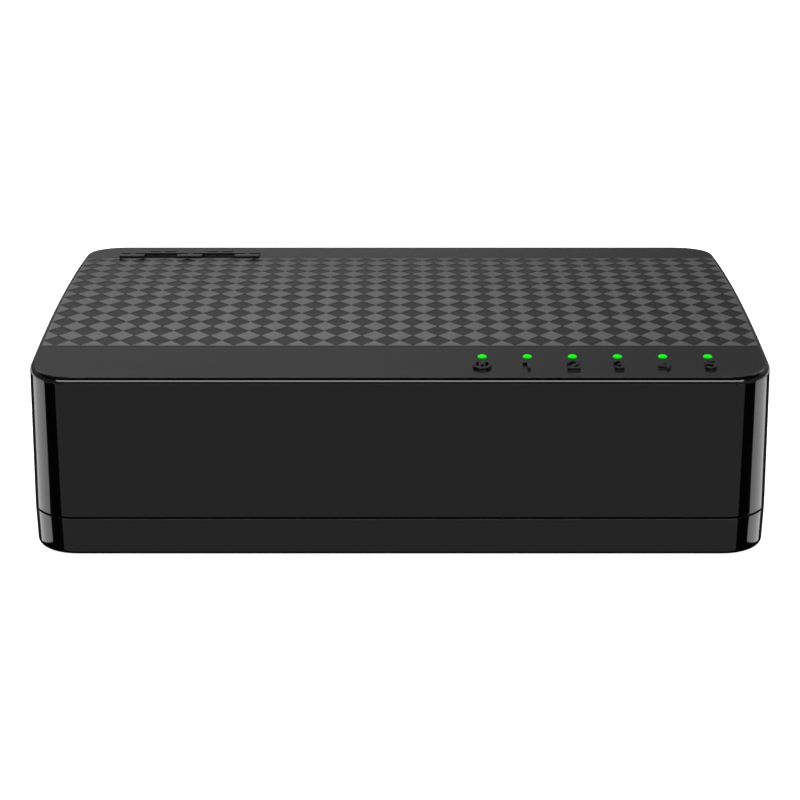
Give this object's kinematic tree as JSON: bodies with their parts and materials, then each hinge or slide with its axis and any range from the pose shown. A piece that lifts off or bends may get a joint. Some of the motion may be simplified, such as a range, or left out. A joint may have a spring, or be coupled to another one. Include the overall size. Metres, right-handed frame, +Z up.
{
  "type": "desktop network switch",
  "caption": "Small black desktop network switch with an arched, diamond-patterned top, a row of status lights, rear network sockets and a barrel power jack.",
  "frame": {"origin": "centre of the bounding box at the surface that the rubber feet stand on", "axes": "+Z up, the front face looks along -Y, the sockets along +Y, +X to the right seen from the front"},
  "size_m": [0.0832, 0.0528, 0.0232],
  "materials": {
    "cover_plastic": "black, polished sides, fine satin texture on the arched top",
    "base_plastic": "black, polished sides, spark-eroded underside",
    "board_laminate": "green solder resist",
    "port_plastic": "black moulded, fine grain",
    "tinned_metal": "tinned",
    "jack_plastic": "black moulded, fine grain",
    "nickel_contact": "nickel plated",
    "gold_contact": "gold flash over spring bronze",
    "chip_resin": "moulded epoxy",
    "pad_silicone": "soft grey pad",
    "sink_aluminium": "black anodised",
    "can_steel": "brushed can",
    "ferrite": "dark ferrite",
    "can_aluminium": "bright can",
    "ceramic": "fired ceramic",
    "light_guide": "clear, lit green at its tips",
    "led_lens": "clear lens on white carrier",
    "screw_steel": "black zinc",
    "label_film": "blank satin film",
    "foot_rubber": "soft black"
  },
  "bodies": {
    "case": {"top_cover": "cover_plastic", "base_shell": "base_plastic", "circuit_board": "board_laminate", "port_housing": "port_plastic", "port_tails": "tinned_metal", "dc_jack_body": "jack_plastic", "dc_jack_pin": "nickel_contact", "dc_jack_tails": "tinned_metal", "switch_chip": "chip_resin", "thermal_pad": "pad_silicone", "heat_sink": "sink_aluminium", "crystal": "can_steel", "flash_chip": "chip_resin", "regulator_chip": "chip_resin", "power_inductor": "ferrite", "capacitor_1": "can_aluminium", "capacitor_2": "can_aluminium", "chip_passives": "ceramic", "light_pipe": "light_guide", "case_screws": "screw_steel", "board_screws": "screw_steel", "underside_label": "label_film", "magnetics_1": "chip_resin", "magnetics_2": "chip_resin", "magnetics_3": "chip_resin", "magnetics_4": "chip_resin", "magnetics_5": "chip_resin", "power_led": "led_lens", "port_led_1": "led_lens", "port_led_2": "led_lens", "port_led_3": "led_lens", "port_led_4": "led_lens", "port_led_5": "led_lens", "foot_front_left": "foot_rubber", "foot_front_right": "foot_rubber", "foot_rear_left": "foot_rubber", "foot_rear_right": "foot_rubber"},
    "port_1_springs": {"port_1_contacts": "gold_contact"},
    "port_2_springs": {"port_2_contacts": "gold_contact"},
    "port_3_springs": {"port_3_contacts": "gold_contact"},
    "port_4_springs": {"port_4_contacts": "gold_contact"},
    "port_5_springs": {"port_5_contacts": "gold_contact"},
    "dc_jack_leaf": {"dc_jack_spring": "nickel_contact"}
  },
  "joints": [
    {"name": "port_1_springs_flex", "type": "hinge", "parent": "case", "child": "port_1_springs", "pos_m": [0.03095, 0.0232, 0.01715], "axis": [-1, 0, 0], "range_deg": [0, 11], "stiffness_Nm_per_rad": 0.12, "springref_deg": -3.44},
    {"name": "port_2_springs_flex", "type": "hinge", "parent": "case", "child": "port_2_springs", "pos_m": [0.01795, 0.0232, 0.01715], "axis": [-1, 0, 0], "range_deg": [0, 11], "stiffness_Nm_per_rad": 0.12, "springref_deg": -3.44},
    {"name": "port_3_springs_flex", "type": "hinge", "parent": "case", "child": "port_3_springs", "pos_m": [0.00495, 0.0232, 0.01715], "axis": [-1, 0, 0], "range_deg": [0, 11], "stiffness_Nm_per_rad": 0.12, "springref_deg": -3.44},
    {"name": "port_4_springs_flex", "type": "hinge", "parent": "case", "child": "port_4_springs", "pos_m": [-0.00805, 0.0232, 0.01715], "axis": [-1, 0, 0], "range_deg": [0, 11], "stiffness_Nm_per_rad": 0.12, "springref_deg": -3.44},
    {"name": "port_5_springs_flex", "type": "hinge", "parent": "case", "child": "port_5_springs", "pos_m": [-0.02105, 0.0232, 0.01715], "axis": [-1, 0, 0], "range_deg": [0, 11], "stiffness_Nm_per_rad": 0.12, "springref_deg": -3.44},
    {"name": "dc_jack_leaf_flex", "type": "hinge", "parent": "case", "child": "dc_jack_leaf", "pos_m": [-0.0333, 0.0138, 0.0081], "axis": [-1, 0, 0], "range_deg": [0, 5], "stiffness_Nm_per_rad": 0.15, "springref_deg": -3.44}
  ]
}
